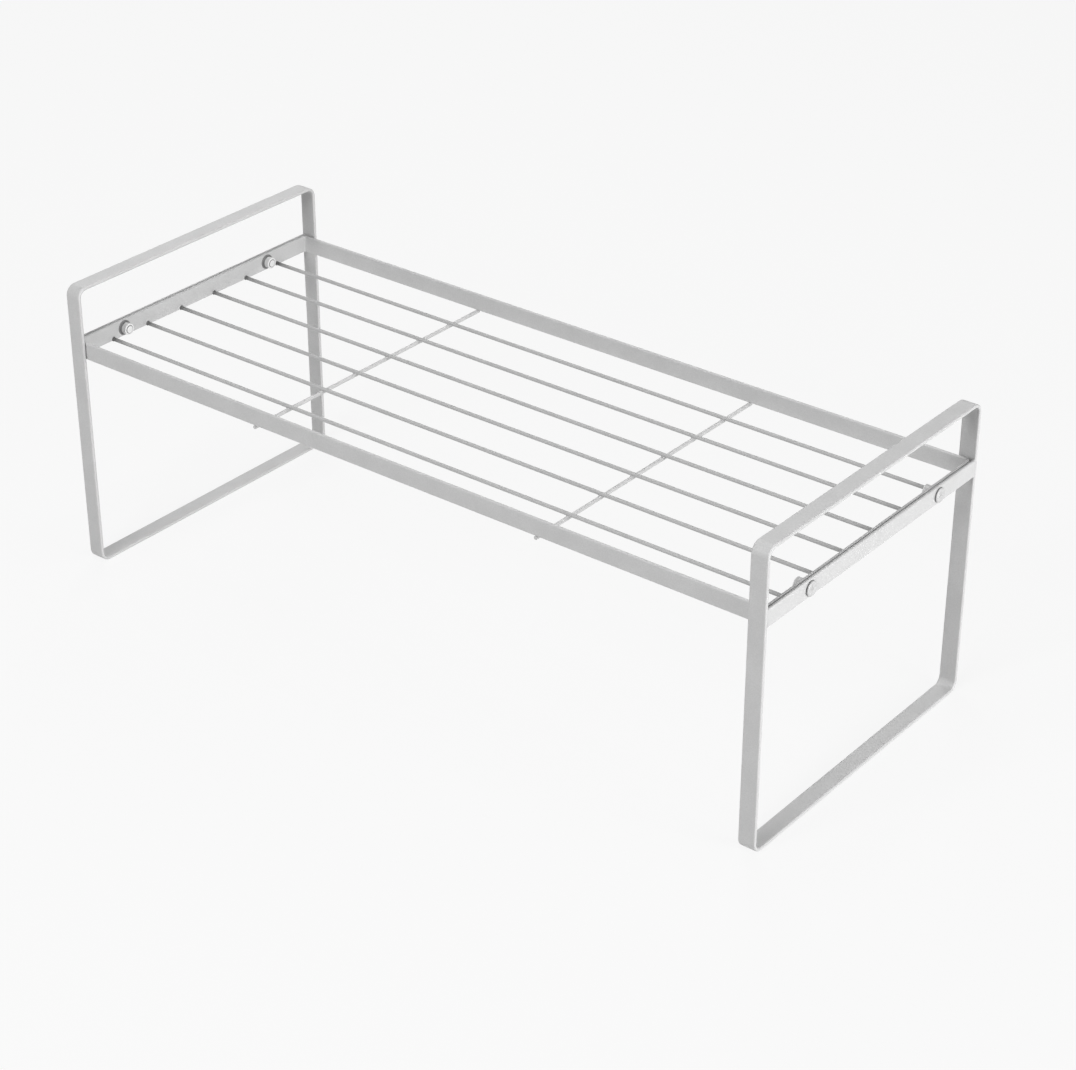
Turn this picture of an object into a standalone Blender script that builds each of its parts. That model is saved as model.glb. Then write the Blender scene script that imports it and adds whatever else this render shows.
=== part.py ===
"""Countertop rack: a raised wire shelf, bolted between two bent side loops of flat bar.

X runs along the rack, -Y is its front and +Z is up. The origin is on the counter, under its middle.
"""

import math

import bmesh
import bpy
from mathutils import Matrix, Vector

# Overall sizes
RACK_LENGTH = 0.500
RACK_DEPTH = 0.205
RACK_HEIGHT = 0.185
SHELF_TOP = 0.150

# Flat bar of the side loops
LOOP_BAR_WIDTH = 0.011
LOOP_BAR_THICKNESS = 0.002
LOOP_BEND_RADIUS = 0.0065

# Flat bar of the cross bars and of the shelf's rim
SHELF_BAR_HEIGHT = 0.011
CROSS_BAR_THICKNESS = 0.002
RIM_THICKNESS = 0.002
RIM_BEND_RADIUS = 0.0035

# Rounded edges of the flat bar
BAR_EDGE_RADIUS = 0.0008
EDGE_LIMIT_SHARE = 0.4

# Wires of the shelf
LONG_WIRE_DIAMETER = 0.0023
LONG_WIRE_PITCH_SHARE = 0.14
LONG_WIRE_COUNT = 6
CROSS_WIRE_DIAMETER = 0.0023
CROSS_WIRE_SPACING = 0.204

# Bolts
BOLT_SPACING = 0.125
BOLT_DIAMETER = 0.005
BOLT_END_CHAMFER = 0.0004
BOLT_HEAD_DIAMETER = 0.0088
BOLT_HEAD_HEIGHT = 0.0016
BOLT_HEAD_ROUNDING = 0.0008
RECESS_LENGTH = 0.0036
RECESS_WIDTH = 0.0009
RECESS_DEPTH = 0.0007

# Threaded bushes behind the ends of the rim
BUSH_DIAMETER = 0.0078
BUSH_LENGTH = 0.0042
BUSH_CHAMFER = 0.0004
BUSH_COLLAR_DIAMETER = 0.0094
BUSH_COLLAR_HEIGHT = 0.0009
BUSH_COLLAR_CHAMFER = 0.0002
BUSH_BORE_CHAMFER = 0.0003
BOLT_END_DEPTH = 0.0003

# Fits
SEAT_GAP = 0.0003
BOLT_CLEARANCE = 0.0003
CUT_OVERRUN = 0.001
MERGE_DISTANCE = 0.000003

# Fineness of the round shapes
BEND_STEPS = 8
EDGE_SEGMENTS = 2
ROUND_STEPS = 24
HEAD_STEPS = 4
WIRE_RESOLUTION = 4
SMOOTH_ANGLE = math.radians(35)
BEVEL_ANGLE = math.radians(50)

# Places that follow from the sizes
LEG_INSIDE_Y = RACK_DEPTH / 2 - LOOP_BAR_THICKNESS
CROSS_BAR_INSIDE_X = RACK_LENGTH / 2 - CROSS_BAR_THICKNESS
RIM_OUTSIDE_X = CROSS_BAR_INSIDE_X - SEAT_GAP
RIM_OUTSIDE_Y = LEG_INSIDE_Y - SEAT_GAP
RIM_INSIDE_X = RIM_OUTSIDE_X - RIM_THICKNESS
SHELF_BAR_MIDDLE_Z = SHELF_TOP - SHELF_BAR_HEIGHT / 2
SHELF_BOTTOM_Z = SHELF_TOP - SHELF_BAR_HEIGHT
LONG_WIRE_PITCH = RACK_DEPTH * LONG_WIRE_PITCH_SHARE
LONG_WIRE_Z = SHELF_BOTTOM_Z + LONG_WIRE_DIAMETER / 2
CROSS_WIRE_Z = SHELF_BOTTOM_Z - SEAT_GAP - CROSS_WIRE_DIAMETER / 2
BOLT_SEAT_X = RACK_LENGTH / 2 + SEAT_GAP
BUSH_SEAT_X = RIM_INSIDE_X - SEAT_GAP
BOLT_LENGTH = BOLT_SEAT_X - BUSH_SEAT_X + BUSH_LENGTH - BOLT_END_DEPTH
HOLE_DIAMETER = BOLT_DIAMETER + 2 * BOLT_CLEARANCE
ENDS = {"left": -1, "right": 1}
SIDES = {"front": -1, "rear": 1}


def clear_scene():
    """Start from an empty scene."""
    for item in list(bpy.data.objects):
        bpy.data.objects.remove(item, do_unlink=True)


def new_collection(name):
    """Add a collection to the scene."""
    collection = bpy.data.collections.new(name)
    bpy.context.scene.collection.children.link(collection)
    return collection


def new_material(name, colour, roughness, metallic):
    """A Principled material of one colour."""
    material = bpy.data.materials.new(name)
    material.use_nodes = True
    shader = material.node_tree.nodes["Principled BSDF"]
    shader.inputs["Base Color"].default_value = (*colour, 1.0)
    shader.inputs["Roughness"].default_value = roughness
    shader.inputs["Metallic"].default_value = metallic
    return material


def silver_coat():
    """Silver-grey powder coat of the bent bars and wires."""
    return new_material("silver_coat", (0.55, 0.55, 0.55), 0.5, 0.35)


def bright_zinc():
    """Zinc plating of the bolts and bushes."""
    return new_material("bright_zinc", (0.72, 0.72, 0.71), 0.3, 1.0)


def add_object(name, data, collection, material=None):
    """Link a new object, with its material, to a collection."""
    item = bpy.data.objects.new(name, data)
    collection.objects.link(item)
    if material:
        item.data.materials.append(material.copy())
    return item


def curve_as_mesh(curve, name):
    """The mesh that a curve makes, with its loose caps welded, in place of the curve."""
    source = bpy.data.objects.new(name, curve)
    bpy.context.scene.collection.objects.link(source)
    bpy.context.view_layer.update()
    evaluated = source.evaluated_get(bpy.context.evaluated_depsgraph_get())
    mesh = bpy.data.meshes.new_from_object(evaluated)
    bpy.data.objects.remove(source, do_unlink=True)
    bpy.data.curves.remove(curve)
    body = bmesh.new()
    body.from_mesh(mesh)
    bmesh.ops.remove_doubles(body, verts=body.verts, dist=MERGE_DISTANCE)
    bmesh.ops.recalc_face_normals(body, faces=body.faces)
    body.to_mesh(mesh)
    body.free()
    return mesh


def outline_curve(name, points, half_width, filled):
    """A flat closed outline in XY, drawn out to both sides along Z."""
    curve = bpy.data.curves.new(name, "CURVE")
    curve.dimensions = "2D"
    curve.fill_mode = "BOTH" if filled else "NONE"
    curve.extrude = half_width
    spline = curve.splines.new("POLY")
    spline.points.add(len(points) - 1)
    for point, (x, y) in zip(spline.points, points):
        point.co = (x, y, 0, 1)
    spline.use_cyclic_u = True
    return curve


def rounded_rectangle(half_x, half_y, radius):
    """Outline of a rectangle with round corners, run against the clock."""
    points = []
    corners = ((half_x, half_y), (-half_x, half_y), (-half_x, -half_y), (half_x, -half_y))
    for quarter, (x, y) in enumerate(corners):
        centre = Vector((x - math.copysign(radius, x), y - math.copysign(radius, y)))
        for step in range(BEND_STEPS + 1):
            angle = math.pi / 2 * (quarter + step / BEND_STEPS)
            points.append(centre + radius * Vector((math.cos(angle), math.sin(angle))))
    return points


def smooth(mesh):
    """Shade the round faces smooth and leave the corners sharp."""
    mesh.shade_smooth()
    mesh.set_sharp_from_angle(angle=SMOOTH_ANGLE)


def round_edges(item, thickness):
    """Rounded edges of a rolled flat bar."""
    bevel = item.modifiers.new("rounded_edges", "BEVEL")
    bevel.width = min(BAR_EDGE_RADIUS, thickness * EDGE_LIMIT_SHARE)
    bevel.segments = EDGE_SEGMENTS
    bevel.limit_method = "ANGLE"
    bevel.angle_limit = BEVEL_ANGLE


def bent_strip(name, half_x, half_y, radius, thickness, width, collection, material):
    """A flat bar bent to a closed rectangle, its width along the local Z axis."""
    ribbon = outline_curve(name, rounded_rectangle(half_x, half_y, radius), width / 2, False)
    mesh = curve_as_mesh(ribbon, name)
    smooth(mesh)
    item = add_object(name, mesh, collection, material)
    wall = item.modifiers.new("bar_thickness", "SOLIDIFY")
    wall.thickness = thickness
    wall.offset = -1
    wall.use_even_offset = True
    round_edges(item, thickness)
    return item


def cut(item, cutter, name):
    """Cut one object with another."""
    boolean = item.modifiers.new(name, "BOOLEAN")
    boolean.operation = "DIFFERENCE"
    boolean.solver = "EXACT"
    boolean.object = cutter


def hide_cutter(item):
    """Cutters show as wires only."""
    item.hide_render = True
    item.display_type = "WIRE"


def hole_cutter(end_name, side_name, cutters):
    """The bore through a cross bar and the rim's end, on one bolt's axis."""
    length = RACK_LENGTH / 2 - RIM_INSIDE_X + 2 * CUT_OVERRUN
    body = bmesh.new()
    bmesh.ops.create_cone(body, cap_ends=True, segments=ROUND_STEPS, radius1=HOLE_DIAMETER / 2,
                          radius2=HOLE_DIAMETER / 2, depth=length)
    name = f"{side_name}_{end_name}_hole_cutter"
    mesh = bpy.data.meshes.new(name)
    body.to_mesh(mesh)
    body.free()
    item = add_object(name, mesh, cutters)
    item.location = (ENDS[end_name] * (RACK_LENGTH / 2 + RIM_INSIDE_X) / 2,
                     SIDES[side_name] * BOLT_SPACING / 2, SHELF_BAR_MIDDLE_Z)
    item.rotation_euler = (0, math.pi / 2, 0)
    hide_cutter(item)
    return item


def side_loop(end_name, collection, material):
    """One side of the rack: foot bar, two legs and handle, bent from one flat bar."""
    item = bent_strip(f"{end_name}_side_loop", RACK_DEPTH / 2, RACK_HEIGHT / 2, LOOP_BEND_RADIUS,
                      LOOP_BAR_THICKNESS, LOOP_BAR_WIDTH, collection, material)
    item.rotation_euler = (math.pi / 2, 0, math.pi / 2)
    item.location = (ENDS[end_name] * (RACK_LENGTH - LOOP_BAR_WIDTH) / 2, 0, RACK_HEIGHT / 2)
    return item


def cross_bar(end_name, bores, collection, material):
    """The flat bar welded between the legs of one loop, which carries the shelf's end."""
    body = bmesh.new()
    size = (CROSS_BAR_THICKNESS, 2 * (LEG_INSIDE_Y - SEAT_GAP), SHELF_BAR_HEIGHT)
    bmesh.ops.create_cube(body, size=1, matrix=Matrix.Diagonal((*size, 1)))
    name = f"{end_name}_cross_bar"
    mesh = bpy.data.meshes.new(name)
    body.to_mesh(mesh)
    body.free()
    smooth(mesh)
    item = add_object(name, mesh, collection, material)
    item.location = (ENDS[end_name] * (RACK_LENGTH - CROSS_BAR_THICKNESS) / 2, 0, SHELF_BAR_MIDDLE_Z)
    round_edges(item, CROSS_BAR_THICKNESS)
    for side_name in SIDES:
        cut(item, bores[end_name, side_name], f"{side_name}_hole")
    return item


def shelf_rim(bores, collection, material):
    """The closed frame of the shelf, which stands between the legs and the cross bars."""
    item = bent_strip("shelf_rim", RIM_OUTSIDE_X, RIM_OUTSIDE_Y, RIM_BEND_RADIUS,
                      RIM_THICKNESS, SHELF_BAR_HEIGHT, collection, material)
    item.location = (0, 0, SHELF_BAR_MIDDLE_Z)
    for (end_name, side_name), bore in bores.items():
        cut(item, bore, f"{side_name}_{end_name}_hole")
    return item


def straight_wire(name, start, end, diameter, collection, material):
    """A round wire, cut square at both ends."""
    curve = bpy.data.curves.new(name, "CURVE")
    curve.dimensions = "3D"
    curve.bevel_depth = diameter / 2
    curve.bevel_resolution = WIRE_RESOLUTION
    curve.use_fill_caps = True
    spline = curve.splines.new("POLY")
    spline.points.add(1)
    for point, place in zip(spline.points, (start, end)):
        point.co = (*place, 1)
    return add_object(name, curve, collection, material)


def long_wires(collection, material):
    """The wires that things stand on, between the ends of the rim."""
    reach = RIM_INSIDE_X - SEAT_GAP
    for index in range(LONG_WIRE_COUNT):
        y = (index - (LONG_WIRE_COUNT - 1) / 2) * LONG_WIRE_PITCH
        straight_wire(f"long_wire_{index + 1}", (-reach, y, LONG_WIRE_Z), (reach, y, LONG_WIRE_Z),
                      LONG_WIRE_DIAMETER, collection, material)


def cross_wires(collection, material):
    """The wires under the long ones, out to the faces of the rim's front and rear."""
    for end_name, end in ENDS.items():
        x = end * CROSS_WIRE_SPACING / 2
        straight_wire(f"{end_name}_cross_wire", (x, -RIM_OUTSIDE_Y, CROSS_WIRE_Z),
                      (x, RIM_OUTSIDE_Y, CROSS_WIRE_Z), CROSS_WIRE_DIAMETER, collection, material)


def turned(name, profile, closed, collection, material):
    """A turned piece from the profile of its right side, which runs top to bottom outside."""
    body = bmesh.new()
    points = [body.verts.new((x, 0, z)) for x, z in profile]
    for here, there in zip(points, points[1:]):
        body.edges.new((here, there))
    if closed:
        body.edges.new((points[-1], points[0]))
    mesh = bpy.data.meshes.new(name)
    body.to_mesh(mesh)
    body.free()
    item = add_object(name, mesh, collection, material)
    screw = item.modifiers.new("turned", "SCREW")
    screw.steps = ROUND_STEPS
    screw.render_steps = ROUND_STEPS
    screw.use_merge_vertices = True
    screw.merge_threshold = MERGE_DISTANCE
    screw.use_smooth_shade = True
    return item


def bolt_profile():
    """Low round head above the seat at zero, and the shank below it."""
    head, shank = BOLT_HEAD_DIAMETER / 2, BOLT_DIAMETER / 2
    rounding = min(BOLT_HEAD_ROUNDING, BOLT_HEAD_HEIGHT)
    points = [(0, BOLT_HEAD_HEIGHT)]
    for step in range(HEAD_STEPS + 1):
        angle = math.pi / 2 * (1 - step / HEAD_STEPS)
        points.append((head - rounding + rounding * math.cos(angle),
                       BOLT_HEAD_HEIGHT - rounding + rounding * math.sin(angle)))
    points += [(head, 0), (shank, 0), (shank, BOLT_END_CHAMFER - BOLT_LENGTH),
               (shank - BOLT_END_CHAMFER, -BOLT_LENGTH), (0, -BOLT_LENGTH)]
    return points


def bush_profile():
    """Collar on the rim's end, barrel standing off it, and the bore for the bolt."""
    barrel, collar, bore = BUSH_DIAMETER / 2, BUSH_COLLAR_DIAMETER / 2, HOLE_DIAMETER / 2
    return [(bore + BUSH_BORE_CHAMFER, BUSH_LENGTH), (barrel - BUSH_CHAMFER, BUSH_LENGTH),
            (barrel, BUSH_LENGTH - BUSH_CHAMFER), (barrel, BUSH_COLLAR_HEIGHT),
            (collar - BUSH_COLLAR_CHAMFER, BUSH_COLLAR_HEIGHT),
            (collar, BUSH_COLLAR_HEIGHT - BUSH_COLLAR_CHAMFER), (collar, 0), (bore, 0),
            (bore, BUSH_LENGTH - BUSH_BORE_CHAMFER)]


def recess_cutter(name, cutters):
    """The cross in a bolt's head that takes the driver."""
    arm, half = RECESS_LENGTH / 2, RECESS_WIDTH / 2
    corner = ((arm, -half), (arm, half), (half, half))
    points = []
    for quarter in range(4):
        turn = Matrix.Rotation(math.pi / 2 * quarter, 2)
        points += [turn @ Vector(point) for point in corner]
    depth = RECESS_DEPTH + CUT_OVERRUN
    mesh = curve_as_mesh(outline_curve(name, points, depth / 2, True), name)
    mesh.transform(Matrix.Translation((0, 0, BOLT_HEAD_HEIGHT - RECESS_DEPTH + depth / 2)))
    item = add_object(name, mesh, cutters)
    hide_cutter(item)
    return item


def fasteners(end_name, side_name, collection, cutters, material):
    """One bolt, driven in from outside, and the threaded bush that takes it."""
    end = ENDS[end_name]
    y = SIDES[side_name] * BOLT_SPACING / 2
    bolt = turned(f"{side_name}_{end_name}_bolt", bolt_profile(), False, collection, material)
    bolt.location = (end * BOLT_SEAT_X, y, SHELF_BAR_MIDDLE_Z)
    bolt.rotation_euler = (0, end * math.pi / 2, 0)
    recess = recess_cutter(f"{side_name}_{end_name}_recess_cutter", cutters)
    recess.location = bolt.location
    recess.rotation_euler = bolt.rotation_euler
    cut(bolt, recess, "driver_recess")
    bush = turned(f"{side_name}_{end_name}_bush", bush_profile(), True, collection, material)
    bush.location = (end * BUSH_SEAT_X, y, SHELF_BAR_MIDDLE_Z)
    bush.rotation_euler = (0, -end * math.pi / 2, 0)


def build():
    """The whole rack."""
    clear_scene()
    rack = new_collection("countertop_rack")
    cutters = new_collection("cutters")
    coat, zinc = silver_coat(), bright_zinc()
    bores = {(end_name, side_name): hole_cutter(end_name, side_name, cutters)
             for end_name in ENDS for side_name in SIDES}
    for end_name in ENDS:
        side_loop(end_name, rack, coat)
        cross_bar(end_name, bores, rack, coat)
    shelf_rim(bores, rack, coat)
    long_wires(rack, coat)
    cross_wires(rack, coat)
    for end_name, side_name in bores:
        fasteners(end_name, side_name, rack, cutters, zinc)


build()
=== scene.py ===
import math

import bmesh
import bpy
from mathutils import Matrix, Vector


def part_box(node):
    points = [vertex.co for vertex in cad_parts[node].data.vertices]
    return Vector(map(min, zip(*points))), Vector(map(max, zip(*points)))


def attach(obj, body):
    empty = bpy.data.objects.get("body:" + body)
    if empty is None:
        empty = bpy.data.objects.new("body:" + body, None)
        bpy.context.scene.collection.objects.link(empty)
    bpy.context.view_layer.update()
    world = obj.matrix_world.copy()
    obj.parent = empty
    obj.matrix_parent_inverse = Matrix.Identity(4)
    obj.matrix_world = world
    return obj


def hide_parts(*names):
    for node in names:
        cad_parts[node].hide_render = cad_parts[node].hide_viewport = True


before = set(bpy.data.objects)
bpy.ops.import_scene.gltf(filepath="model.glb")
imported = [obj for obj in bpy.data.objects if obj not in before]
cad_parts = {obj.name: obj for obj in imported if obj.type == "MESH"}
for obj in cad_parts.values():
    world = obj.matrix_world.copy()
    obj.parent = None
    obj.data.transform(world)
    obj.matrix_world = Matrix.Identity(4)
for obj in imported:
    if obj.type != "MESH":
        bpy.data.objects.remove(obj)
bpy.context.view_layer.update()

# Side loops. Each end of the rack is one 11 x 2 mm flat bar of mild steel with rolled edges, bent
# on the flat to a closed loop: foot, two legs and handle. The closing weld is ground flush, and the
# loop is powder coated silver grey.
ENDS = {"left": -1, "right": 1}
BAR_THICKNESS = 0.002
BAR_WIDTH = 0.011
ROLLED_EDGE = 0.00095
EDGE_STEPS = 7
LOOP_BEND = 0.0065
BEND_STEPS = 18
SEAM = 0.000002
QUARTER_TURN = math.pi / 2
STAND_UP = Matrix.Rotation(QUARTER_TURN, 4, "Z") @ Matrix.Rotation(QUARTER_TURN, 4, "X")

COAT_GREY = (0.56, 0.56, 0.56, 1)
COAT_GREY_DARK = (0.53, 0.53, 0.53, 1)
COAT_GREY_LIGHT = (0.6, 0.6, 0.6, 1)
COAT_METALLIC = 0.08
COAT_ROUGHNESS = (0.5, 0.6)
SHADE_PLACES = (0.36, 0.5, 0.64)
SPECKLE_SCALE = 1500
SPECKLE_DETAIL = 3
SPECKLE_RANGE = (0.3, 0.7)
CLOUD_SCALE = 60
CLOUD_DETAIL = 2
CLOUD_SHARE = 0.3
PEEL_SCALE = 800
PEEL_DETAIL = 1
PEEL_DEPTH = 0.00004
PEEL_STRENGTH = 0.25


def bar_end(width, thickness):
    """Outline of a rolled flat bar's end, standing across X with its width upright."""
    bar = bmesh.new()
    bmesh.ops.create_grid(bar, x_segments=1, y_segments=1, size=0.5,
                          matrix=STAND_UP @ Matrix.Diagonal((thickness, width, 1, 1)))
    bmesh.ops.bevel(bar, geom=bar.verts[:], offset=ROLLED_EDGE, segments=EDGE_STEPS,
                    profile=0.5, affect="VERTICES", material=-1)
    bmesh.ops.delete(bar, geom=bar.faces[:], context="FACES_ONLY")
    return bar


def ring_in(geometry):
    """The vertices and edges of the open end among some geometry."""
    points = [part for part in geometry if isinstance(part, bmesh.types.BMVert)]
    inside = set(points)
    edges = [part for part in geometry
             if isinstance(part, bmesh.types.BMEdge) and inside.issuperset(part.verts)]
    return points + edges


def draw_on(shape, ring, step, scale=1.0):
    """Draw the open end on in a straight line, wider or narrower where a scale is given."""
    edges = [part for part in ring if isinstance(part, bmesh.types.BMEdge)]
    ring = ring_in(bmesh.ops.extrude_edge_only(shape, edges=edges)["geom"])
    points = [part for part in ring if isinstance(part, bmesh.types.BMVert)]
    bmesh.ops.translate(shape, verts=points, vec=step)
    if scale != 1.0:
        middle = sum((point.co for point in points), Vector()) / len(points)
        bmesh.ops.scale(shape, vec=(scale, scale, scale), verts=points,
                        space=Matrix.Translation(-middle))
    return ring


def bent_loop(length, depth, bend, thickness, width):
    """A flat bar bent to a closed rectangle in XY, with its width along Z."""
    bar = bar_end(width, thickness)
    bmesh.ops.translate(bar, verts=bar.verts, vec=(0, (thickness - depth) / 2, 0))
    ring = bar.verts[:] + bar.edges[:]
    half_runs = (length / 2 - bend, depth / 2 - bend)
    for corner in range(4):
        turn = Matrix.Rotation(corner * QUARTER_TURN, 3, "Z")
        along, across = half_runs[corner % 2], half_runs[1 - corner % 2]
        ring = draw_on(bar, ring, turn @ Vector((along, 0, 0)))
        ring = ring_in(bmesh.ops.spin(bar, geom=ring, cent=turn @ Vector((along, -across, 0)),
                                      axis=(0, 0, 1), angle=QUARTER_TURN, steps=BEND_STEPS,
                                      use_merge=False, use_duplicate=False)["geom_last"])
        ring = draw_on(bar, ring, turn @ Vector((0, across, 0)))
    bmesh.ops.remove_doubles(bar, verts=bar.verts, dist=SEAM)
    bmesh.ops.recalc_face_normals(bar, faces=bar.faces)
    return bar


def as_piece(name, shape, material):
    """A smooth-shaded object of a finished shape, whose flats stay flat beside its round edges."""
    mesh = bpy.data.meshes.new(name)
    shape.to_mesh(mesh)
    shape.free()
    mesh.shade_smooth()
    mesh.materials.append(material)
    piece = bpy.data.objects.new(name, mesh)
    bpy.context.scene.collection.objects.link(piece)
    piece.modifiers.new("even_flats", "WEIGHTED_NORMAL")
    return piece


def noise_over(nodes, links, place, scale, detail):
    """Noise of one size all over a piece."""
    noise = nodes.new("ShaderNodeTexNoise")
    noise.inputs["Scale"].default_value = scale
    noise.inputs["Detail"].default_value = detail
    links.new(place, noise.inputs["Vector"])
    return noise.outputs["Fac"]


def spread(nodes, links, value, new_range, old_range=(0, 1)):
    """A value stretched from one range to another."""
    stretch = nodes.new("ShaderNodeMapRange")
    stretch.inputs["From Min"].default_value = old_range[0]
    stretch.inputs["From Max"].default_value = old_range[1]
    stretch.inputs["To Min"].default_value = new_range[0]
    stretch.inputs["To Max"].default_value = new_range[1]
    links.new(value, stretch.inputs["Value"])
    return stretch.outputs["Result"]


def raise_relief(nodes, links, height, strength, depth):
    """Fine relief on a material's surface."""
    relief = nodes.new("ShaderNodeBump")
    relief.inputs["Strength"].default_value = strength
    relief.inputs["Distance"].default_value = depth
    links.new(height, relief.inputs["Height"])
    links.new(relief.outputs["Normal"], nodes["Principled BSDF"].inputs["Normal"])


def silver_powder_coat():
    """Satin silver-grey powder coat: metal speckle, faint clouding and a slight orange peel."""
    coat = bpy.data.materials.new("silver_powder_coat")
    coat.use_nodes = True
    nodes, links = coat.node_tree.nodes, coat.node_tree.links
    shader = nodes["Principled BSDF"]
    shader.inputs["Metallic"].default_value = COAT_METALLIC
    place = nodes.new("ShaderNodeTexCoord").outputs["Object"]

    speckle = noise_over(nodes, links, place, SPECKLE_SCALE, SPECKLE_DETAIL)
    cloud = noise_over(nodes, links, place, CLOUD_SCALE, CLOUD_DETAIL)
    both = nodes.new("ShaderNodeMix")
    both.inputs["Factor"].default_value = CLOUD_SHARE
    links.new(speckle, both.inputs["A"])
    links.new(cloud, both.inputs["B"])
    shade = nodes.new("ShaderNodeValToRGB")
    stops = shade.color_ramp.elements
    stops[0].position = SHADE_PLACES[0]
    stops[0].color = COAT_GREY_DARK
    stops[1].position = SHADE_PLACES[2]
    stops[1].color = COAT_GREY_LIGHT
    stops.new(SHADE_PLACES[1]).color = COAT_GREY
    links.new(both.outputs["Result"], shade.inputs["Fac"])
    links.new(shade.outputs["Color"], shader.inputs["Base Color"])
    links.new(spread(nodes, links, speckle, COAT_ROUGHNESS, SPECKLE_RANGE),
              shader.inputs["Roughness"])
    peel = noise_over(nodes, links, place, PEEL_SCALE, PEEL_DETAIL)
    raise_relief(nodes, links, peel, PEEL_STRENGTH, PEEL_DEPTH)
    return coat


silver_coat = silver_powder_coat()
for end in ENDS:
    low, high = (Vector(corner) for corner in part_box(f"{end}_side_loop"))
    loop = bent_loop(high.y - low.y, high.z - low.z, LOOP_BEND, BAR_THICKNESS, BAR_WIDTH)
    bmesh.ops.transform(loop, verts=loop.verts,
                        matrix=Matrix.Translation((low + high) / 2) @ STAND_UP)
    loop = as_piece(f"{end}_bent_loop", loop, silver_coat)
    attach(loop, "root")
    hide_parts(f"{end}_side_loop")

# Cross bars. A straight length of the same flat bar closes each loop at shelf height, flush with
# the loop's outer edge. Its ends butt against the legs, with a short weld bead in each inner
# corner, and two clearance holes take the bolts.
SIDES = {"front": -1, "rear": 1}
LEG_INSIDE_Y = 0.1005
CROSS_BAR_X = 0.249
SHELF_MIDDLE_Z = 0.1445
BOLT_Y = 0.0625
HOLE_DIAMETER = 0.0054
HOLE_STEPS = 48
DRILL_LENGTH = 0.008
BEAD_RADIUS = 0.0013
BEAD_STEPS = 20
BEAD_BLUNTNESS = 6
BEAD_TIP_SHARE = 0.2
BEAD_LOW_Z = 0.1396
BEAD_HIGH_Z = 0.1456
BEAD_RIPPLES = 9
BEAD_RIPPLE_SHARE = 0.07


def cut_away(piece, shape):
    """Cut a shape out of a piece."""
    mesh = bpy.data.meshes.new("cutter")
    shape.to_mesh(mesh)
    shape.free()
    cutter = bpy.data.objects.new("cutter", mesh)
    bpy.context.scene.collection.objects.link(cutter)
    cut = piece.modifiers.new("cut", "BOOLEAN")
    cut.solver = "EXACT"
    cut.object = cutter
    piece.modifiers.move(len(piece.modifiers) - 1, 0)
    even_flats = piece.modifiers["even_flats"]
    even_flats.show_viewport = False
    bpy.context.view_layer.update()
    trimmed = bpy.data.meshes.new_from_object(
        piece.evaluated_get(bpy.context.evaluated_depsgraph_get()))
    piece.modifiers.remove(cut)
    even_flats.show_viewport = True
    piece.data = trimmed
    bpy.data.objects.remove(cutter)


def drill(piece, x):
    """Drill both bolt holes of one end through a piece."""
    holes = bmesh.new()
    for y in (-BOLT_Y, BOLT_Y):
        bmesh.ops.create_cone(holes, cap_ends=True, segments=HOLE_STEPS,
                              radius1=HOLE_DIAMETER / 2, radius2=HOLE_DIAMETER / 2,
                              depth=DRILL_LENGTH,
                              matrix=Matrix.Translation((x, y, SHELF_MIDDLE_Z)) @ STAND_UP)
    cut_away(piece, holes)


def add_bead(shape, corner, low_z, high_z):
    """A short rippled weld bead, standing in an inner corner."""
    rings = 2 * BEAD_RIPPLES
    bead = bmesh.new()
    bmesh.ops.create_cone(bead, cap_ends=True, segments=BEAD_STEPS, radius1=1, radius2=1, depth=1)
    upright = [edge for edge in bead.edges if abs(edge.verts[0].co.z - edge.verts[1].co.z) > 0.5]
    bmesh.ops.subdivide_edges(bead, edges=upright, cuts=rings, use_grid_fill=True)
    for point in bead.verts:
        share = point.co.z + 0.5
        swell = math.sqrt(max(BEAD_TIP_SHARE ** 2, 1 - (2 * share - 1) ** BEAD_BLUNTNESS))
        swell *= 1 + BEAD_RIPPLE_SHARE * math.cos(share * rings * math.pi)
        point.co.x *= swell * BEAD_RADIUS
        point.co.y *= swell * BEAD_RADIUS
        point.co.z = low_z + share * (high_z - low_z)
    bmesh.ops.translate(bead, verts=bead.verts, vec=(corner[0], corner[1], 0))
    mesh = bpy.data.meshes.new("bead")
    bead.to_mesh(mesh)
    bead.free()
    shape.from_mesh(mesh)
    bpy.data.meshes.remove(mesh)


for end, way in ENDS.items():
    bar = bar_end(BAR_WIDTH, BAR_THICKNESS)
    ring = bar.verts[:] + bar.edges[:]
    bmesh.ops.contextual_create(bar, geom=ring)
    bmesh.ops.translate(bar, verts=bar.verts, vec=(-LEG_INSIDE_Y, 0, 0))
    ring = draw_on(bar, ring, (2 * LEG_INSIDE_Y, 0, 0))
    bmesh.ops.contextual_create(bar, geom=ring)
    bmesh.ops.recalc_face_normals(bar, faces=bar.faces)
    bmesh.ops.transform(bar, verts=bar.verts,
                        matrix=Matrix.Translation((way * CROSS_BAR_X, 0, SHELF_MIDDLE_Z))
                        @ Matrix.Rotation(QUARTER_TURN, 4, "Z"))
    bar = as_piece(f"{end}_cross_bar_with_holes", bar, silver_coat)
    drill(bar, way * CROSS_BAR_X)
    welded = bmesh.new()
    welded.from_mesh(bar.data)
    for leg in SIDES.values():
        add_bead(welded, (way * (CROSS_BAR_X - BAR_THICKNESS / 2), leg * LEG_INSIDE_Y),
                 BEAD_LOW_Z, BEAD_HIGH_Z)
    welded.to_mesh(bar.data)
    welded.free()
    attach(bar, "root")
    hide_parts(f"{end}_cross_bar")

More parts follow.
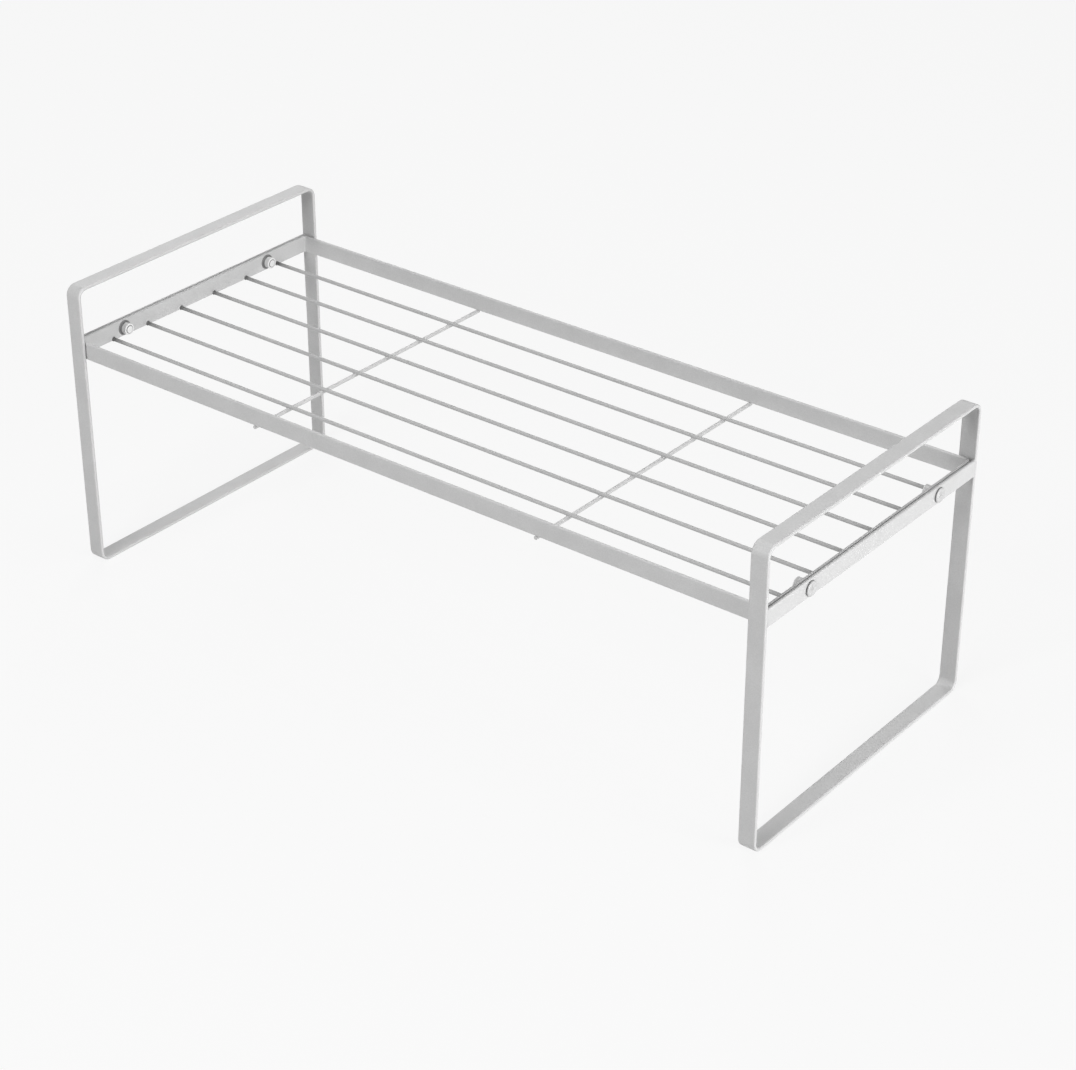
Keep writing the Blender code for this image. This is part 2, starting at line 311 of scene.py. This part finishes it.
# Shelf rim. The shelf's frame is the same flat bar on edge, bent sharply at its four corners to a
# closed rectangle that slides in between the legs. Its short ends lie against the cross bars.
RIM_OUTSIDE_X = 0.24795
RIM_OUTSIDE_Y = 0.1002
RIM_BEND = 0.0035

rim = bent_loop(2 * RIM_OUTSIDE_X, 2 * RIM_OUTSIDE_Y, RIM_BEND, BAR_THICKNESS, BAR_WIDTH)
bmesh.ops.translate(rim, verts=rim.verts, vec=(0, 0, SHELF_MIDDLE_Z))
rim = as_piece("bent_shelf_rim", rim, silver_coat)
for way in ENDS.values():
    drill(rim, way * (RIM_OUTSIDE_X - BAR_THICKNESS / 2))
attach(rim, "root")
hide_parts("shelf_rim")

# Long wires. Six round steel wires run the length of the shelf, level with the rim's lower edge.
# Each end is fused to the rim's short end, which leaves a small flared weld at its root. Their
# colour is darker than the bars' all along, and painted shade darkens them towards the rim, most
# of all at the welds.
RIM_INSIDE_X = RIM_OUTSIDE_X - BAR_THICKNESS
WIRE_RADIUS = 0.00115
WIRE_STEPS = 28
LONG_WIRE_Z = 0.14015
LONG_WIRE_COUNT = 6
ROOT_LENGTH = 0.0012
ROOT_SCALES = (1.3, 1.16, 1.06, 1.01, 1.0)
# Grey factors on the coat from the wires' middle out: darker all along, and painted shade near the
# rim, deepest at the welds.
WIRE_TONES_AND_PAINTED_SHADE = ((0.15, 0.81), (0.2, 0.78), (0.225, 0.73), (0.237, 0.62), (0.2425, 0.48),
              (0.2438, 0.28), (0.246, 0.25))


def welded_wire(start, end):
    """A round wire from one point to another, flared where its ends are fused on."""
    run = end - start
    wire = bmesh.new()
    bmesh.ops.create_circle(wire, segments=WIRE_STEPS, radius=WIRE_RADIUS * ROOT_SCALES[0],
                            matrix=Matrix.Translation(start)
                            @ run.to_track_quat("Z", "Y").to_matrix().to_4x4())
    ring = wire.verts[:] + wire.edges[:]
    bmesh.ops.contextual_create(wire, geom=ring)
    root = run.normalized() * ROOT_LENGTH
    step = root / (len(ROOT_SCALES) - 1)
    for wider, narrower in zip(ROOT_SCALES, ROOT_SCALES[1:]):
        ring = draw_on(wire, ring, step, narrower / wider)
    ring = draw_on(wire, ring, run - 2 * root)
    for wider, narrower in zip(ROOT_SCALES[::-1][1:], ROOT_SCALES[::-1]):
        ring = draw_on(wire, ring, step, wider / narrower)
    bmesh.ops.contextual_create(wire, geom=ring)
    bmesh.ops.recalc_face_normals(wire, faces=wire.faces)
    return wire


def tones_along(nodes, links, value, tones):
    """Greys that follow a value through (value, grey) stops."""
    first, last = tones[0][0], tones[-1][0]
    along = nodes.new("ShaderNodeMapRange")
    along.inputs["From Min"].default_value = first
    along.inputs["From Max"].default_value = last
    links.new(value, along.inputs["Value"])
    ramp = nodes.new("ShaderNodeValToRGB")
    stops = ramp.color_ramp.elements
    for place, _ in tones[1:-1]:
        stops.new((place - first) / (last - first))
    for stop, (_, grey) in zip(stops, tones):
        stop.color = (grey, grey, grey, 1)
    links.new(along.outputs["Result"], ramp.inputs["Fac"])
    return ramp.outputs["Color"]


def silver_wire_coat_with_painted_shade():
    """The same powder coat, darker all along a wire, with painted shade towards its welded ends."""
    coat = silver_coat.copy()
    coat.name = "silver_wire_coat_with_painted_shade"
    nodes, links = coat.node_tree.nodes, coat.node_tree.links
    base_color = nodes["Principled BSDF"].inputs["Base Color"]
    apart = nodes.new("ShaderNodeSeparateXYZ")
    links.new(nodes["Texture Coordinate"].outputs["Object"], apart.inputs["Vector"])
    from_middle = nodes.new("ShaderNodeMath")
    from_middle.operation = "ABSOLUTE"
    links.new(apart.outputs["X"], from_middle.inputs[0])
    toned = nodes.new("ShaderNodeMix")
    toned.data_type = "RGBA"
    toned.blend_type = "MULTIPLY"
    toned.inputs["Factor"].default_value = 1.0
    links.new(base_color.links[0].from_socket, toned.inputs["A"])
    links.new(tones_along(nodes, links, from_middle.outputs["Value"], WIRE_TONES_AND_PAINTED_SHADE),
              toned.inputs["B"])
    links.new(toned.outputs["Result"], base_color)
    return coat


shaded_wire_coat = silver_wire_coat_with_painted_shade()
for number in range(1, LONG_WIRE_COUNT + 1):
    low, high = (Vector(corner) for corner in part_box(f"long_wire_{number}"))
    y = (low.y + high.y) / 2
    wire = welded_wire(Vector((-RIM_INSIDE_X, y, LONG_WIRE_Z)),
                       Vector((RIM_INSIDE_X, y, LONG_WIRE_Z)))
    wire = as_piece(f"welded_long_wire_{number}", wire, shaded_wire_coat)
    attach(wire, "root")
    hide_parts(f"long_wire_{number}")

# Cross wires. Two wires of the same size pass under the long ones and under the rim, out to its
# faces. They are resistance welded at every crossing, which sinks the wires into each other a
# little and leaves a small fused nugget between them.
CROSS_WIRE_Z = 0.13795
CUT_EDGE = 0.0002
CUT_EDGE_STEPS = 2
NUGGET_RADII = (0.0014, 0.0014, 0.0006)
NUGGET_STEPS = (20, 12)
NUGGET_Z = 0.139

crossings = [sum(corner[1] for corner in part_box(f"long_wire_{number}")) / 2
             for number in range(1, LONG_WIRE_COUNT + 1)]
for end in ENDS:
    low, high = (Vector(corner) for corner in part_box(f"{end}_cross_wire"))
    x = (low.x + high.x) / 2
    wire = bmesh.new()
    bmesh.ops.create_cone(wire, cap_ends=True, segments=WIRE_STEPS, radius1=WIRE_RADIUS,
                          radius2=WIRE_RADIUS, depth=2 * RIM_OUTSIDE_Y,
                          matrix=Matrix.Translation((x, 0, CROSS_WIRE_Z))
                          @ Matrix.Rotation(QUARTER_TURN, 4, "X"))
    cut_edges = [edge for edge in wire.edges
                 if abs(abs(edge.verts[0].co.y) - RIM_OUTSIDE_Y) < SEAM
                 and abs(edge.verts[0].co.y - edge.verts[1].co.y) < SEAM]
    bmesh.ops.bevel(wire, geom=cut_edges, offset=CUT_EDGE, segments=CUT_EDGE_STEPS, profile=0.5,
                    affect="EDGES", material=-1)
    for y in crossings:
        bmesh.ops.create_uvsphere(wire, u_segments=NUGGET_STEPS[0], v_segments=NUGGET_STEPS[1],
                                  radius=1,
                                  matrix=Matrix.Translation((x, y, NUGGET_Z))
                                  @ Matrix.Diagonal((*NUGGET_RADII, 1)))
    wire = as_piece(f"welded_{end}_cross_wire", wire, silver_coat)
    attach(wire, "root")
    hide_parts(f"{end}_cross_wire")

# Bolts. Four M5 bolts with low round heads go in from outside, through cross bar and rim. They are
# turned and thread-rolled steel, bright zinc plated, with a cross recess for the driver.
CROSS_BAR_OUTSIDE_X = 0.25
HEAD_RADIUS = 0.0044
HEAD_HEIGHT = 0.0017
HEAD_CROWN = 0.0002
HEAD_ROUNDING = 0.0007
HEAD_UNDERCUT = 0.0005
SHANK_RADIUS = 0.0024
CORE_RADIUS = 0.00205
THREAD_PITCH = 0.0008
BOLT_END_X = 0.2412
BOLT_END_EDGE = 0.0002
RECESS_ARM = 0.0033
RECESS_WIDTH = 0.0009
RECESS_DEPTH = 0.0012
RECESS_MOUTH_SHARES = (1.25, 1.1)
RECESS_FLOOR_SHARES = (0.45, 0.7)
TURNING_STEPS = 64
ROUNDING_STEPS = 6

ZINC_METALLIC = 0.3
ZINC_ROUGHNESS = (0.56, 0.66)
ZINC_HAZE = (0.94, 1.06)
HAZE_SCALE = 500
HAZE_DETAIL = 2
# Zinc greys along the axis, from bolt end to head. The bolt ends and bush mouths are painted
# lighter as painted light; the bushes' roots and collars and the heads' rims are painted shade.
ZINC_TONES_AND_PAINTED_LIGHT = ((0.2412, 0.78), (0.2417, 0.78), (0.2421, 0.6), (0.2445, 0.6), (0.2447, 0.2),
              (0.2459, 0.2), (0.25, 0.18), (0.2506, 0.2), (0.2511, 0.53))
# A painted shadow: a dark ring round each bolt's end in its bush's mouth.
GROOVE_PAINTED_SHADOW = ((0.00215, 1.0), (0.00225, 0.2), (0.00255, 0.2), (0.00265, 1.0))
PAINTED_SHADOW_END_X = 0.242
TURNING_SCALE = 6000
TURNING_STRENGTH = 0.15
TURNING_DEPTH = 0.00001


def turned_on(axis_x, axis_y, way, profile):
    """Spin a profile of (radius, distance, rounding) points round a bolt's axis."""
    turned = bmesh.new()
    points = [turned.verts.new((radius, 0, distance)) for radius, distance, _ in profile]
    for here, there in zip(points, points[1:]):
        turned.edges.new((here, there))
    for point, (_, _, rounding) in zip(points, profile):
        if rounding:
            bmesh.ops.bevel(turned, geom=[point], offset=rounding, segments=ROUNDING_STEPS,
                            profile=0.5, affect="VERTICES", material=-1)
    bmesh.ops.spin(turned, geom=turned.verts[:] + turned.edges[:], cent=(0, 0, 0), axis=(0, 0, 1),
                   angle=2 * math.pi, steps=TURNING_STEPS, use_merge=True, use_duplicate=False)
    bmesh.ops.remove_doubles(turned, verts=turned.verts, dist=SEAM)
    bmesh.ops.recalc_face_normals(turned, faces=turned.faces)
    bmesh.ops.transform(turned, verts=turned.verts,
                        matrix=Matrix.Translation((axis_x, axis_y, SHELF_MIDDLE_Z))
                        @ Matrix.Rotation(way * QUARTER_TURN, 4, "Y"))
    return turned


def bright_zinc_plate():
    """Bright zinc on turned steel, hazy and ringed, painted light on the ends, painted shade at
    roots and round bolt ends.
    """
    zinc = bpy.data.materials.new("bright_zinc_plate")
    zinc.use_nodes = True
    nodes, links = zinc.node_tree.nodes, zinc.node_tree.links
    shader = nodes["Principled BSDF"]
    shader.inputs["Metallic"].default_value = ZINC_METALLIC
    place = nodes.new("ShaderNodeTexCoord").outputs["Object"]
    apart = nodes.new("ShaderNodeSeparateXYZ")
    links.new(place, apart.inputs["Vector"])
    folded = {}
    for axis in "XY":
        folded[axis] = nodes.new("ShaderNodeMath")
        folded[axis].operation = "ABSOLUTE"
        links.new(apart.outputs[axis], folded[axis].inputs[0])

    from_axis = nodes.new("ShaderNodeCombineXYZ")
    links.new(folded["Y"].outputs["Value"], from_axis.inputs["X"])
    links.new(apart.outputs["Z"], from_axis.inputs["Y"])
    off_centre = nodes.new("ShaderNodeVectorMath")
    off_centre.operation = "DISTANCE"
    off_centre.inputs[1].default_value = (BOLT_Y, SHELF_MIDDLE_Z, 0)
    links.new(from_axis.outputs["Vector"], off_centre.inputs[0])

    # Painted light on the ends and painted shade at the bushes' roots and the heads' rims.
    tone = tones_along(nodes, links, folded["X"].outputs["Value"], ZINC_TONES_AND_PAINTED_LIGHT)
    # A painted shadow ring round each bolt's end in its bush's mouth.
    painted_groove_shadow = tones_along(nodes, links, off_centre.outputs["Value"], GROOVE_PAINTED_SHADOW)
    at_the_mouth = nodes.new("ShaderNodeMath")
    at_the_mouth.operation = "LESS_THAN"
    at_the_mouth.inputs[1].default_value = PAINTED_SHADOW_END_X
    links.new(folded["X"].outputs["Value"], at_the_mouth.inputs[0])
    darkened = nodes.new("ShaderNodeMix")
    darkened.data_type = "RGBA"
    darkened.blend_type = "MULTIPLY"
    links.new(at_the_mouth.outputs["Value"], darkened.inputs["Factor"])
    links.new(tone, darkened.inputs["A"])
    links.new(painted_groove_shadow, darkened.inputs["B"])
    haze = noise_over(nodes, links, place, HAZE_SCALE, HAZE_DETAIL)
    plate = nodes.new("ShaderNodeVectorMath")
    plate.operation = "SCALE"
    links.new(darkened.outputs["Result"], plate.inputs["Vector"])
    links.new(spread(nodes, links, haze, ZINC_HAZE), plate.inputs["Scale"])
    links.new(plate.outputs["Vector"], shader.inputs["Base Color"])
    links.new(spread(nodes, links, haze, ZINC_ROUGHNESS), shader.inputs["Roughness"])

    marks = nodes.new("ShaderNodeTexNoise")
    marks.noise_dimensions = "1D"
    marks.inputs["Scale"].default_value = TURNING_SCALE
    links.new(off_centre.outputs["Value"], marks.inputs["W"])
    raise_relief(nodes, links, marks.outputs["Fac"], TURNING_STRENGTH, TURNING_DEPTH)
    return zinc


def press_recess(bolt, axis_x, axis_y, way):
    """Press the driver's cross recess into a bolt's head: two tapered slots that cross."""
    for turn in (0, QUARTER_TURN):
        slot = bmesh.new()
        bmesh.ops.create_cube(slot, size=1, matrix=Matrix.Translation((0, 0, 0.5)))
        for point in slot.verts:
            along, across = RECESS_MOUTH_SHARES if point.co.z > 0.5 else RECESS_FLOOR_SHARES
            point.co.x *= RECESS_ARM * along
            point.co.y *= RECESS_WIDTH * across
            point.co.z *= 2 * RECESS_DEPTH
        bmesh.ops.translate(slot, verts=slot.verts, vec=(0, 0, HEAD_HEIGHT - RECESS_DEPTH))
        bmesh.ops.transform(slot, verts=slot.verts,
                            matrix=Matrix.Translation((axis_x, axis_y, SHELF_MIDDLE_Z))
                            @ Matrix.Rotation(way * QUARTER_TURN, 4, "Y")
                            @ Matrix.Rotation(turn, 4, "Z"))
        bmesh.ops.recalc_face_normals(slot, faces=slot.faces)
        cut_away(bolt, slot)


zinc_plate = bright_zinc_plate()
shank_length = CROSS_BAR_OUTSIDE_X - BOLT_END_X
bolt_profile = [(0, HEAD_HEIGHT, 0), (HEAD_RADIUS, HEAD_HEIGHT - HEAD_CROWN, HEAD_ROUNDING),
                (HEAD_RADIUS, 0, HEAD_UNDERCUT), (SHANK_RADIUS, 0, 0)]
thread_count = int((shank_length - 2 * BOLT_END_EDGE) / THREAD_PITCH)
for thread in range(thread_count):
    bolt_profile.append((CORE_RADIUS, -THREAD_PITCH * (thread + 0.5), 0))
    bolt_profile.append((SHANK_RADIUS, -THREAD_PITCH * (thread + 1), 0))
bolt_profile += [(SHANK_RADIUS, -shank_length, BOLT_END_EDGE), (0, -shank_length, 0)]
for end, way in ENDS.items():
    for side, leg in SIDES.items():
        bolt = turned_on(way * CROSS_BAR_OUTSIDE_X, leg * BOLT_Y, way, bolt_profile)
        bolt = as_piece(f"{side}_{end}_zinc_bolt", bolt, zinc_plate)
        press_recess(bolt, way * CROSS_BAR_OUTSIDE_X, leg * BOLT_Y, way)
        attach(bolt, "root")
        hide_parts(f"{side}_{end}_bolt")

# Bushes. A turned bush of zinc plated steel stands inside the rim behind each bolt. Its collar is
# riveted to the rim, and its body is tapped, so that the bolt's end shows in its mouth.
BUSH_END_X = 0.2414
BUSH_RADIUS = 0.00355
BUSH_EDGE = 0.00025
COLLAR_RADIUS = 0.0047
COLLAR_HEIGHT = 0.0004
COLLAR_EDGE = 0.0002
BORE_RADIUS = 0.00242
BORE_MOUTH = 0.0002

bush_length = RIM_INSIDE_X - BUSH_END_X
bush_profile = [(BORE_RADIUS, 0, 0), (BORE_RADIUS, bush_length, BORE_MOUTH),
                (BUSH_RADIUS, bush_length, BUSH_EDGE), (BUSH_RADIUS, COLLAR_HEIGHT, 0),
                (COLLAR_RADIUS, COLLAR_HEIGHT, COLLAR_EDGE), (COLLAR_RADIUS, 0, 0),
                (BORE_RADIUS, 0, 0)]
for end, way in ENDS.items():
    for side, leg in SIDES.items():
        bush = turned_on(way * RIM_INSIDE_X, leg * BOLT_Y, -way, bush_profile)
        bush = as_piece(f"{side}_{end}_turned_bush", bush, zinc_plate)
        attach(bush, "root")
        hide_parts(f"{side}_{end}_bush")

# Floor. A pale seamless floor of matt paper carries the rack. To the camera and in a gloss it is
# mostly an even pale glow, and a small share of the lit paper keeps the rack's shadow.
GLOW_GREY = 0.98
PAPER_GREY = 0.8
FLOOR_SIZE = 60
FLOOR_PANES = 8
FLOOR_DROP = 0.0001
FLOOR_LIT_SHARE = 0.12


def looking_rays(nodes, links):
    """One for the rays that look at the background: straight, off a gloss or through glass."""
    path = nodes.new("ShaderNodeLightPath")
    looking = path.outputs["Is Camera Ray"]
    for kind in ("Is Glossy Ray", "Is Transmission Ray"):
        either = nodes.new("ShaderNodeMath")
        either.operation = "MAXIMUM"
        links.new(looking, either.inputs[0])
        links.new(path.outputs[kind], either.inputs[1])
        looking = either.outputs["Value"]
    return looking


floor_shape = bmesh.new()
bmesh.ops.create_grid(floor_shape, x_segments=FLOOR_PANES, y_segments=FLOOR_PANES,
                      size=FLOOR_SIZE / 2, matrix=Matrix.Translation((0, 0, -FLOOR_DROP)))
floor_mesh = bpy.data.meshes.new("pale_floor")
floor_shape.to_mesh(floor_mesh)
floor_shape.free()
floor = bpy.data.objects.new("pale_floor", floor_mesh)
bpy.context.scene.collection.objects.link(floor)
paper = bpy.data.materials.new("pale_paper")
paper.use_nodes = True
nodes, links = paper.node_tree.nodes, paper.node_tree.links
matt = nodes["Principled BSDF"]
matt.inputs["Base Color"].default_value = (PAPER_GREY, PAPER_GREY, PAPER_GREY, 1)
matt.inputs["Roughness"].default_value = 1.0
matt.inputs["Specular IOR Level"].default_value = 0.0
glow = nodes.new("ShaderNodeEmission")
glow.inputs["Color"].default_value = (GLOW_GREY, GLOW_GREY, GLOW_GREY, 1)
mix = nodes.new("ShaderNodeMixShader")
share = nodes.new("ShaderNodeMath")
share.operation = "MULTIPLY"
share.inputs[1].default_value = 1 - FLOOR_LIT_SHARE
links.new(looking_rays(nodes, links), share.inputs[0])
links.new(share.outputs["Value"], mix.inputs["Fac"])
links.new(matt.outputs["BSDF"], mix.inputs[1])
links.new(glow.outputs["Emission"], mix.inputs[2])
links.new(mix.outputs["Shader"], nodes["Material Output"].inputs["Surface"])
floor_mesh.materials.append(paper)

# Light. A strong soft box stands low at the right. A large one in front, a weaker one behind on the
# left and one overhead fill in, and the pale floor throws their light back up. The world beyond
# is pale grey to the camera and in a gloss, and gives no other light.
PALE_GREY = 0.93
WORLD_STRENGTH = 0.0
LAMP_AIM = (0, 0, 0.1)
LAMPS = {
    "right": ((2.45, 0.0, 0.4), 0.9, 54.0),
    "front": ((0.0, -2.13, 1.59), 1.3, 38.0),
    "rear_left": ((-1.41, 1.41, 1.77), 1.3, 15.5),
    "overhead": ((0.0, 0.0, 2.7), 1.3, 21.0),
}

for name, (place, size, power) in LAMPS.items():
    lamp = bpy.data.lights.new(f"{name}_lamp", "AREA")
    lamp.shape = "SQUARE"
    lamp.size = size
    lamp.energy = power
    stand = bpy.data.objects.new(f"{name}_lamp", lamp)
    stand.location = place
    aim = Vector(LAMP_AIM) - Vector(place)
    stand.rotation_euler = aim.to_track_quat("-Z", "Y").to_euler()
    bpy.context.scene.collection.objects.link(stand)

world = bpy.data.worlds.new("pale_room")
world.use_nodes = True
bpy.context.scene.world = world
nodes, links = world.node_tree.nodes, world.node_tree.links
room = nodes["Background"]
room.inputs["Color"].default_value = (1, 1, 1, 1)
room.inputs["Strength"].default_value = WORLD_STRENGTH
seen = nodes.new("ShaderNodeBackground")
seen.inputs["Color"].default_value = (PALE_GREY, PALE_GREY, PALE_GREY, 1)
mix = nodes.new("ShaderNodeMixShader")
links.new(looking_rays(nodes, links), mix.inputs["Fac"])
links.new(room.outputs["Background"], mix.inputs[1])
links.new(seen.outputs["Background"], mix.inputs[2])
links.new(mix.outputs["Shader"], nodes["World Output"].inputs["Surface"])

# Camera. It looks down on the rack from its front right, at the photograph's angle and distance.
CAMERA_PLACE = (0.86855, -1.0642, 0.8424)
CAMERA_AIM = (-0.53985, 0.68049, -0.49547)
CAMERA_LENS = 89.954
SENSOR_WIDTH = 36

camera = bpy.data.cameras.new("camera")
camera.sensor_fit = "HORIZONTAL"
camera.sensor_width = SENSOR_WIDTH
camera.lens = CAMERA_LENS
tripod = bpy.data.objects.new("camera", camera)
tripod.location = CAMERA_PLACE
tripod.rotation_euler = Vector(CAMERA_AIM).to_track_quat("-Z", "Y").to_euler()
bpy.context.scene.collection.objects.link(tripod)
bpy.context.scene.camera = tripod
bpy.context.scene.view_settings.view_transform = "Standard"
